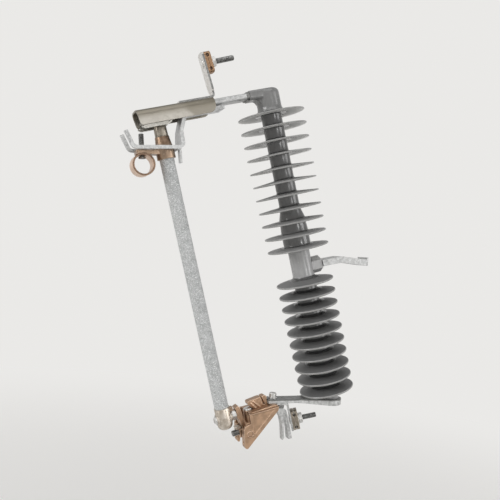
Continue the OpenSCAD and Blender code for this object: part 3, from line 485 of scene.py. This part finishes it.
def thread(diameter, length, pitch=1.25, start=0.0):
    """A threaded rod along +z, from start to start + length, with a turned lead at its free end."""
    segments, depth, lead = 28, 0.62, 0.9
    rows = max(4, round(length / pitch * 6))
    big = diameter / 2
    rings = []
    for k in range(rows + 1):
        z = length * k / rows
        radii = []
        for i in range(segments):
            phase = (z / pitch - i / segments) % 1.0
            groove = min(1.0, max(0.0, abs(phase - 0.5) * 2.6 - 0.15))
            radii.append(min(big - depth * (1 - groove), big - max(0.0, lead - (length - z))))
        rings.append((radii, start + z))
    vertices, faces = skin(rings, closed=False)
    faces.append(tuple(reversed(range(segments))))
    faces.append(tuple(range(rows * segments, (rows + 1) * segments)))
    return vertices, faces


def hex_nut(flats, height, bore):
    """A nut along +z: a hexagon whose corners are turned off at both ends, with a countersunk bore."""
    segments, steps, sixth = 72, 5, math.pi / 3
    chamfer, sink = 0.9, 0.7
    corner = flats / math.sqrt(3)
    face = flats / 2 * 0.95
    rings = []

    def ring(limit, z):
        turns = [(2 * math.pi * i / segments + sixth / 2) % sixth - sixth / 2 for i in range(segments)]
        rings.append(([min(flats / 2 / math.cos(turn), limit) for turn in turns], z))

    for k in range(steps + 1):
        ring(face + (corner - face) * k / steps, chamfer * k / steps)
    for k in range(steps + 1):
        ring(corner - (corner - face) * k / steps, height - chamfer * (1 - k / steps))
    hole = bore / 2
    for r, z in ((hole + sink, height), (hole, height - sink), (hole, sink), (hole + sink, 0.0)):
        rings.append(([r] * segments, z))
    return skin(rings, closed=True)


def join(*parts):
    """One mesh from several (vertices, faces, matrix in millimetres or None)."""
    vertices, faces = [], []
    for part in parts:
        place = part[2] if len(part) > 2 else None
        base = len(vertices)
        vertices += [tuple(place @ Vector(v)) if place else v for v in part[0]]
        faces += [tuple(base + i for i in f) for f in part[1]]
    return vertices, faces


def washer(outer, inner, height, start=0.0):
    chamfer = 0.25
    hole, rim, top = inner / 2, outer / 2, start + height
    profile = [(hole, start), (rim - chamfer, start), (rim, start + chamfer), (rim, top - chamfer),
               (rim - chamfer, top), (hole, top), (hole, start)]
    return lathe(profile, 48)


def cast_copy(node, material, voxel, rounds, grow=0.0):
    """A rounded copy of a CAD node, as it comes from a mould: remeshed finely and relaxed at its edges.

    Where two castings nearly touch it is grown a little. Voxel and grow are in millimetres.
    """
    source = nodes[node]
    body = source["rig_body"]
    mesh = source.data.copy()
    piece = bpy.data.objects.new(node + "_cast", mesh)
    bpy.context.scene.collection.objects.link(piece)
    weld = piece.modifiers.new("weld", "WELD")
    weld.merge_threshold = 1e-6
    remesh = piece.modifiers.new("remesh", "REMESH")
    remesh.mode = "VOXEL"
    remesh.voxel_size = voxel * MM
    relax = piece.modifiers.new("relax", "SMOOTH")
    relax.factor = 0.5
    relax.iterations = rounds
    swell = piece.modifiers.new("swell", "DISPLACE")
    swell.strength = grow * MM
    swell.mid_level = 0.0
    bpy.context.view_layer.update()
    made = bpy.data.meshes.new_from_object(piece.evaluated_get(bpy.context.evaluated_depsgraph_get()))
    piece.modifiers.clear()
    piece.data = made
    made.materials.clear()
    made.materials.append(MATERIALS[material])
    shade_by_angle(made, 60)
    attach(piece, body)
    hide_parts(node)
    return piece


def soften(node, material, width=0.4, segments=2):
    """Keeps a CAD node, gives it its material and breaks its sharp edges."""
    piece = nodes[node]
    if not piece.material_slots:
        piece.data.materials.append(MATERIALS[material])
    for slot in piece.material_slots:
        slot.material = MATERIALS[material]
    weld = piece.modifiers.new("weld", "WELD")
    weld.merge_threshold = 1e-6
    bevel = piece.modifiers.new("bevel", "BEVEL")
    bevel.width = width * MM
    bevel.segments = segments
    bevel.limit_method = "ANGLE"
    bevel.angle_limit = math.radians(38)
    bevel.use_clamp_overlap = True
    return piece


# ---- insulator ---------------------------------------------------------------------------------------

FLANK_DEGREES = (25, 50, 75)  # points of the moulded fillets at a shed's roots
ROOT_ABOVE, ROOT_BELOW = 1.8, 1.2  # radii of those fillets

UPPER_TOP, UPPER_FOOT = 232.7, 23.7
UPPER_FIRST, UPPER_PITCH = 227.7, 20.1
UPPER_RIMS = (100, 93.4)  # diameters of the topmost and lowest upper sheds
UPPER_CORES = [15.25] * 8 + [19.3] + [20.5] * 2  # the core's radius at each upper shed

LOWER_TOP, LOWER_FOOT = -20.2, -197.9
LOWER_FIRST, LOWER_PITCH = -26.7, 18.8
LOWER_RIMS = (87.4, 83.4)
LOWER_CORES = [17] * 10

SLEEVE = [(0, 24.2), (15.0, 24.2), (15.6, 23.4), (16.25, 21.5), (16.25, -14.5), (16.6, -17.2), (17.4, -19.2),
          (18.6, -20.4), (0, -20.4)]


def fillet(radius, degrees):
    """How far a point of a root's fillet lies out from the core and off the shed."""
    turn = math.radians(degrees)
    return radius * (1 - math.cos(turn)), radius * (1 - math.sin(turn))


def shed_profile(core, rim, z, edge, top_slope, foot_slope):
    """One shed from its upper root to its lower root, with moulded fillets at both roots and a rolled rim."""
    top = math.tan(math.radians(top_slope))
    foot = math.tan(math.radians(foot_slope))
    r = edge / 2
    z_top = z + r + (rim - core) * top
    z_foot = z - r + (rim - core) * foot
    points = [(core, z_top + ROOT_ABOVE)]
    for degrees in FLANK_DEGREES:
        out, off = fillet(ROOT_ABOVE, degrees)
        points.append((core + out, z_top + off * 0.9 - out * top))
    span = rim - core - ROOT_ABOVE - r
    for f in (0.25, 0.5, 0.75):
        points.append((core + ROOT_ABOVE + span * f, z + r + span * (1 - f) * top))
    points += arc(rim - r, z, r, 80, -80, 8)
    span = rim - core - ROOT_BELOW - r
    for f in (0.35, 0.7):
        points.append((rim - span * f - r, z - r + span * f * foot))
    for degrees in reversed(FLANK_DEGREES):
        out, off = fillet(ROOT_BELOW, degrees)
        points.append((core + out, z_foot - off - out * foot))
    points.append((core, z_foot - ROOT_BELOW))
    return points


def shed_row(cores, rims, first, pitch, edge, top_slope, foot_slope):
    """The profiles of a row of sheds from the top down; their rims shrink evenly from rims[0] to rims[1]."""
    points = []
    for i, core in enumerate(cores):
        rim = (rims[0] + (rims[1] - rims[0]) * i / (len(cores) - 1)) / 2
        points += shed_profile(core, rim, first - pitch * i, edge, top_slope, foot_slope)
    return points


def paint_rim_light(piece, profile):
    """Gives the rolled rims of the sheds a paler rubber: painted highlight along the rims."""
    least = 40  # every rim is further out than this, and every root further in
    rims = [(r, z) for (before, _), (r, z), (after, _) in zip(profile, profile[1:], profile[2:])
            if r >= before and r > after and r > least]

    def on_rim(face):
        centre = face.center / MM
        reach = math.hypot(centre.x, centre.y)
        return any(abs(centre.z - z) < 1.6 and reach > r - 1.0 for r, z in rims)

    paint_faces(piece, "rim_rubber", on_rim)


def add_housing(name, profile, material, node):
    sheds = add_piece(name, *lathe(profile, 144), AXIS, material, "cutout", "housing_rubber", [node])
    paint_rim_light(sheds, profile)


def add_insulator():
    upper = [(0, UPPER_TOP), (UPPER_CORES[0], UPPER_TOP)]
    upper += shed_row(UPPER_CORES, UPPER_RIMS, UPPER_FIRST, UPPER_PITCH, edge=2.2, top_slope=6, foot_slope=3)
    upper += [(UPPER_CORES[-1], UPPER_FOOT), (0, UPPER_FOOT)]
    add_housing("upper_sheds", upper, "upper_rubber", "upper_housing")
    lower = [(0, LOWER_TOP), (LOWER_CORES[0], LOWER_TOP)]
    lower += shed_row(LOWER_CORES, LOWER_RIMS, LOWER_FIRST, LOWER_PITCH, edge=3, top_slope=13, foot_slope=4)
    lower += [(LOWER_CORES[-1], LOWER_FOOT), (0, LOWER_FOOT)]
    add_housing("lower_sheds", lower, "lower_rubber", "lower_housing")
    add_piece("sleeve", *lathe(SLEEVE, 96), AXIS, "sleeve_rubber", "cutout", "pale_rubber", ["middle_sleeve"])
    cast_copy("top_cap", "cap_rubber", 0.8, 18)
    cast_copy("mounting_boss", "boss_rubber", 0.5, 2)
    soften("bottom_fitting", "sleeve_rubber", 0.8)


# ---- head and hook -----------------------------------------------------------------------------------

def shade_strap_sides(strap, material):
    """Gives the sheared sides of a bent strap a darker metal than its broad faces: painted shade."""
    paint_faces(strap, material, lambda face: abs(face.normal.y) > 0.85)


def add_head():
    soften("mounting_arm", "galvanised", 1.0, 3)
    soften("top_bar", "galvanised", 0.6)
    soften("bar_collar", "dark_steel", 0.4)
    soften("hood", "satin_sheet", 0.5)
    soften("upper_contact", "smoky_plate", 0.35)
    # the straps' narrow sides take a darker metal: painted shade
    shade_strap_sides(soften("hook_strap", "pale_zinc", 1.3, 3), "galvanised")
    shade_strap_sides(soften("top_terminal_strap", "polished_sheet", 0.5), "dark_steel")


# ---- terminals ---------------------------------------------------------------------------------------

PAD_T = 3.0  # the terminal straps' thickness
CLAMP_T = 9.8  # both halves of a clamp with the gap between them
WASHER_T = 1.2
NUT_T = 5.5
CLAMP_BOLT_R = 3.95


def add_clamp(place, name, free, bronze):
    """Bolt with a rolled thread, nut, washer and the two cast halves of a wire clamp; free is the length of
    thread that stands out of the nut."""
    shank = lathe([(0, -PAD_T), (CLAMP_BOLT_R, -PAD_T), (CLAMP_BOLT_R, CLAMP_T), (3.4, CLAMP_T + 0.4),
                   (0, CLAMP_T + 0.4)], 32)
    edge = arc(5.3, -PAD_T - 0.3, 0.7, -90, 0, 3)
    head = lathe([(0, -PAD_T - 1.0)] + edge + [(6, -PAD_T), (0, -PAD_T)], 40)
    rod = thread(2 * CLAMP_BOLT_R, NUT_T + WASHER_T + free, start=CLAMP_T)
    bolt = add_piece(name + "_bolt_threaded", *join(shank, head, rod), place @ ALONG_X,
                     "dark_steel", "cutout", "dark_steel", [name + "_bolt"])
    paint_faces(bolt, "polished_sheet", lambda face: face.center.z < (0.01 - PAD_T) * MM)
    nut = (*hex_nut(13.5, NUT_T, 7.4), Matrix.Translation((0, 0, CLAMP_T + WASHER_T)))
    add_piece(name + "_nut_turned", *join(washer(17, 8.2, WASHER_T, CLAMP_T), nut), place @ ALONG_X,
              "bright_plate", "cutout", "bright_metal", [name + "_nut"])
    cast_copy(name + "_body", bronze, 0.45, 3, 0.3)
    cast_copy(name + "_keeper", bronze, 0.45, 3, 0.3)


def add_terminals():
    add_clamp(TOP_CLAMP, "top_clamp", 29, "clamp_bronze")
    add_clamp(LOW_CLAMP, "lower_clamp", 21, "grey_bronze")
    soften("lower_terminal_strap", "galvanised", 0.5)
    soften("hanger_leg", "galvanised", 0.9, 3)
    nut_place = SEAT @ shift(0, 0, -3) @ UPSIDE_DOWN @ about_z(30)
    add_piece("foot_nut_turned", *hex_nut(12, 6, 7.4), nut_place,
              "dark_steel", "cutout", "dark_steel", ["foot_nut"])
    below, above = 13, 5.5
    stud = thread(7, below + above, pitch=1.0, start=-below)
    add_piece("foot_bolt_threaded", *stud, SEAT, "dark_steel", "cutout", "dark_steel", ["foot_bolt"])


# ---- hinge end ---------------------------------------------------------------------------------------

BUTTON_AT = (10.5, 0, 27.5)  # the button's seat in the hinge's frame
HINGE_BOLT_X = -94  # the casting's bolt along the bracket


def add_hinge():
    soften("lower_bracket", "bracket_zinc", 0.9, 3)
    cast_copy("hinge_casting", "cast_bronze", 0.5, 3)
    cast_copy("hinge_block", "cast_bronze", 0.45, 2)
    button = [(0, 0), (6.5, 0), (6.5, 0.5)] + arc(4.6, 0.9, 1.9, 0, 70, 5) + [(2.4, 2.9), (0, 3)]
    add_piece("button_domed", *lathe(button, 48), HINGE @ shift(*BUTTON_AT), "bright_plate", "cutout",
              "bright_metal", ["hinge_button"])
    head = [(0, -10.5), (4, -10.5), (4, 0), (6.5, 0), (6.5, 1.6), (5.5, 1.7), (5.5, 6.4)] + \
        arc(3.6, 6.6, 1.9, 0, 80, 5) + [(1.8, 9.0), (0, 9.0)]
    add_piece("hinge_bolt_turned", *lathe(head, 48), BRACKET @ shift(HINGE_BOLT_X), "bright_plate", "cutout",
              "bright_metal", ["hinge_bolt"])


# ---- fuseholder --------------------------------------------------------------------------------------

TUBE_R, TUBE_BORE_R = 10.3, 6.35
TUBE_LOW, TUBE_HIGH = 31.0, 418.0  # the tube's ends above the hinge pins
BARE_LOW, BARE_HIGH = 44.5, 405.0  # the length between its fittings, whose skin is uneven
COLLAR_Z = 422.0
CAP_Z = 437.0
FERRULE_BOLT_AT = (11.5, 0, 27)
LINK_STUD_X = -10.5
RING_BORE_R, RING_T, RING_HALF_W, RING_EDGE = 13.0, 2.5, 14.0, 0.8
RING_BOLT_HEAD_Z = 8.6
RING_NUT_Z = 20.0


def uneven(x, y, z):
    """Moves a point of the tube's skin in or out by up to a tenth of a millimetre or so."""
    r = math.hypot(x, y)
    wave = noise.noise(Vector((x, y, z)) * 0.55) * 0.5 + noise.noise(Vector((x, y, z)) * 1.4) * 0.35
    grow = 1 + 0.20 * wave / r
    return x * grow, y * grow, z


def add_tube():
    """The wound tube: a lathed shell with an uneven outer skin."""
    chamfer, steps = 0.4, 420
    skin_length = TUBE_HIGH - TUBE_LOW - 2 * chamfer
    profile = [(TUBE_BORE_R, TUBE_LOW), (TUBE_R - chamfer, TUBE_LOW)]
    profile += [(TUBE_R, TUBE_LOW + chamfer + skin_length * k / steps) for k in range(steps + 1)]
    profile += [(TUBE_R - chamfer, TUBE_HIGH), (TUBE_BORE_R, TUBE_HIGH), (TUBE_BORE_R, TUBE_LOW)]
    vertices, faces = lathe(profile, 64)
    wound = [uneven(x, y, z) if math.hypot(x, y) > TUBE_R - 0.1 and BARE_LOW < z < BARE_HIGH else (x, y, z)
             for x, y, z in vertices]
    add_piece("tube_wound", wound, faces, HOLDER, "wound_fibre", "fuseholder", "tube_fibre", ["fuse_tube"],
              sharp=50)


def add_tube_top():
    cap = [(0, 0), (9.75, 0), (9.75, 0.6), (9.2, 1.2), (9.15, 6.0), (8.75, 15.5)]
    cap += arc(7.0, 15.9, 1.6, 0, 80, 5)
    cap += [(6.6, 18.4), (6.2, 19.0), (0, 19.0)]
    add_piece("tube_cap_turned", *lathe(cap, 72), HOLDER @ shift(0, 0, CAP_Z), "cap_metal", "fuseholder",
              "bright_metal", ["tube_cap"])
    collar = [(TUBE_BORE_R, 0), (12, 0), (11.9, 1.2), (10.6, 9.8), (10.2, 11.3), (10.2, 14.4), (9.8, 15),
              (TUBE_BORE_R, 15), (TUBE_BORE_R, 0)]
    add_piece("cap_collar_turned", *lathe(collar, 72), HOLDER @ shift(0, 0, COLLAR_Z), "collar_bronze",
              "fuseholder", "bronze", ["cap_collar"])


def add_pull_ring():
    """The rolled ring, with darker edges than its broad face, and the bolt and nut that hold it."""
    side = RING_HALF_W - RING_EDGE
    inside, outside = RING_BORE_R + RING_EDGE, RING_BORE_R + RING_T - RING_EDGE
    ring = [(RING_BORE_R, -side)]
    ring += arc(inside, -side, RING_EDGE, 180, 270, 3) + arc(outside, -side, RING_EDGE, -90, 0, 3)
    ring += arc(outside, side, RING_EDGE, 0, 90, 3) + arc(inside, side, RING_EDGE, 90, 180, 3)
    ring.append((RING_BORE_R, -side))
    rolled = add_piece("pull_ring_rolled", *lathe(ring, 96), RING @ Matrix.Rotation(math.pi / 2, 4, "X"),
                       "ring_bronze", "fuseholder", "bronze", ["pull_ring"])
    paint_faces(rolled, "edge_bronze", lambda face: abs(face.center.z) > 13.0 * MM)
    low, high = RING_BOLT_HEAD_Z, RING_BOLT_HEAD_Z + 2.6
    head = lathe([(0, low), (4.4, low), (5, low + 0.5), (5, high - 0.5), (4.6, high), (0, high)], 40)
    rod = thread(7.5, 34 - 2.6, start=high)
    add_piece("ring_bolt_threaded", *join(head, rod), RING,
              "dark_steel", "fuseholder", "dark_steel", ["ring_bolt"])
    add_piece("ring_nut_turned", *hex_nut(12, 5, 7.0), RING @ shift(0, 0, RING_NUT_Z),
              "dark_steel", "fuseholder", "dark_steel", ["ring_nut"])


def add_fuseholder():
    add_tube()
    cast_copy("trunnion", "cast_bronze", 0.5, 3)
    cast_copy("ring_clamp", "brown_bronze", 0.5, 2)
    cast_copy("link_boss", "tan_bronze", 0.35, 3)
    cast_copy("ferrule_key", "brown_bronze", 0.35, 3)
    add_tube_top()
    soften("lower_ferrule", "tan_bronze", 0.5)
    soften("ferrule_bolt", "bright_plate", 0.3)
    nut_place = HOLDER @ shift(*FERRULE_BOLT_AT) @ ALONG_X
    add_piece("ferrule_nut_turned", *hex_nut(13.5, 6.8, 6.6), nut_place, "bright_plate", "fuseholder",
              "bright_metal", ["ferrule_nut"])
    stud_place = HINGE @ shift(LINK_STUD_X) @ about_y(-90)
    add_piece("link_stud_threaded", *thread(9, 10, pitch=1.5), stud_place, "dark_steel", "fuseholder",
              "dark_steel", ["link_stud"])
    add_pull_ring()


add_insulator()
add_head()
add_terminals()
add_hinge()
add_fuseholder()


# ---- camera, light and floor -------------------------------------------------------------------------

CAMERA_AT = Vector((-0.4557, -0.7952, -0.0346))
LOOK = Vector((0.35267, 0.93524, 0.03070))
ROLL_DEG = 6.87  # the object leans to one side in the picture
LENS_MM = 41.71
BACKGROUND = (0.824, 0.816, 0.799)
ROOM_LEVEL = 0.60
MIRRORED_LEVEL = 0.82
FLOOR_TONE = 1.16  # evens the lit floor out with the background
FLOOR_Z = -0.80  # under the fuseholder when it hangs open
FLOOR_NEAR, FLOOR_FAR = 0.9, 3.0  # between these the floor fades into the background


def add_camera():
    data = bpy.data.cameras.new("camera")
    data.sensor_width = 36.0
    data.lens = LENS_MM
    data.clip_start = 0.01
    camera = bpy.data.objects.new("camera", data)
    bpy.context.scene.collection.objects.link(camera)
    roll = Matrix.Rotation(math.radians(ROLL_DEG), 4, "Z")
    aim = LOOK.to_track_quat("-Z", "Y").to_matrix().to_4x4()
    camera.matrix_world = Matrix.Translation(CAMERA_AT) @ aim @ roll
    bpy.context.scene.camera = camera


def add_sun(name, towards, strength, softness):
    """Even light from one side; softness is the width of the source in degrees."""
    data = bpy.data.lights.new(name, "SUN")
    data.energy = strength
    data.angle = math.radians(softness)
    lamp = bpy.data.objects.new(name, data)
    bpy.context.scene.collection.objects.link(lamp)
    lamp.rotation_euler = Vector(towards).to_track_quat("-Z", "Y").to_euler()


def plain_background(tree, shader):
    """A shader of the background's plain colour, and a mask of the rays that come from the camera."""
    flat = tree.nodes.new(shader)
    flat.inputs["Color"].default_value = (*BACKGROUND, 1)
    return flat, tree.nodes.new("ShaderNodeLightPath").outputs["Is Camera Ray"]


def add_world():
    """A pale room whose ceiling is darker than its walls, so that metal shows some form."""
    world = bpy.data.worlds.new("world")
    bpy.context.scene.world = world
    world.use_nodes = True
    tree = world.node_tree
    room = tree.nodes["Background"]
    coords = tree.nodes.new("ShaderNodeTexCoord")
    split = tree.nodes.new("ShaderNodeSeparateXYZ")
    ramp = tree.nodes.new("ShaderNodeValToRGB")
    tree.links.new(coords.outputs["Generated"], split.inputs[0])
    tree.links.new(split.outputs["Z"], ramp.inputs[0])
    tree.links.new(ramp.outputs[0], room.inputs["Color"])
    path = tree.nodes.new("ShaderNodeLightPath")
    level = tree.nodes.new("ShaderNodeMapRange")
    tree.links.new(path.outputs["Is Glossy Ray"], level.inputs[0])
    level.inputs["To Min"].default_value = ROOM_LEVEL
    level.inputs["To Max"].default_value = MIRRORED_LEVEL
    tree.links.new(level.outputs[0], room.inputs["Strength"])
    stops = ramp.color_ramp.elements
    stops[0].position, stops[0].color = 0.10, (1.0, 0.99, 0.975, 1)
    stops[1].position, stops[1].color = 0.90, (0.45, 0.45, 0.45, 1)
    flat, seen = plain_background(tree, "ShaderNodeBackground")
    mix = tree.nodes.new("ShaderNodeMixShader")
    tree.links.new(seen, mix.inputs[0])
    tree.links.new(room.outputs[0], mix.inputs[1])
    tree.links.new(flat.outputs[0], mix.inputs[2])
    tree.links.new(mix.outputs[0], tree.nodes["World Output"].inputs["Surface"])


def add_floor():
    """A wide pale floor that keeps the shadow near the part and fades into the background further out."""
    mesh = bpy.data.meshes.new("floor")
    side = 30.0
    corners = [(-side, -side, 0), (side, -side, 0), (side, side, 0), (-side, side, 0)]
    mesh.from_pydata(corners, [], [(0, 1, 2, 3)])
    floor = bpy.data.objects.new("floor", mesh)
    bpy.context.scene.collection.objects.link(floor)
    floor.location = (0, 0, FLOOR_Z)
    material = bpy.data.materials.new("floor")
    material.use_nodes = True
    tree = material.node_tree
    tree.nodes.clear()
    out = tree.nodes.new("ShaderNodeOutputMaterial")
    matt = tree.nodes.new("ShaderNodeBsdfDiffuse")
    matt.inputs["Color"].default_value = (*(c * FLOOR_TONE for c in BACKGROUND), 1)
    coords = tree.nodes.new("ShaderNodeTexCoord")
    length = tree.nodes.new("ShaderNodeVectorMath")
    length.operation = "LENGTH"
    tree.links.new(coords.outputs["Object"], length.inputs[0])
    far = tree.nodes.new("ShaderNodeMapRange")
    far.interpolation_type = "SMOOTHSTEP"
    tree.links.new(length.outputs["Value"], far.inputs[0])
    far.inputs["From Min"].default_value = FLOOR_NEAR
    far.inputs["From Max"].default_value = FLOOR_FAR
    flat, camera_ray = plain_background(tree, "ShaderNodeEmission")
    seen = tree.nodes.new("ShaderNodeMath")
    seen.operation = "MULTIPLY"
    tree.links.new(far.outputs[0], seen.inputs[0])
    tree.links.new(camera_ray, seen.inputs[1])
    mix = tree.nodes.new("ShaderNodeMixShader")
    tree.links.new(seen.outputs[0], mix.inputs[0])
    tree.links.new(matt.outputs[0], mix.inputs[1])
    tree.links.new(flat.outputs[0], mix.inputs[2])
    tree.links.new(mix.outputs[0], out.inputs["Surface"])
    mesh.materials.append(material)


add_camera()
add_world()
add_floor()
add_sun("left", (0.95, 0.20, -0.25), 1.2, 30)
add_sun("right", (-0.80, 0.55, -0.20), 0.7, 30)
add_sun("front", (-0.25, 0.97, -0.08), 0.22, 7)
add_sun("high", (0.20, 0.45, -0.87), 0.8, 60)
bpy.context.scene.view_settings.view_transform = "Standard"
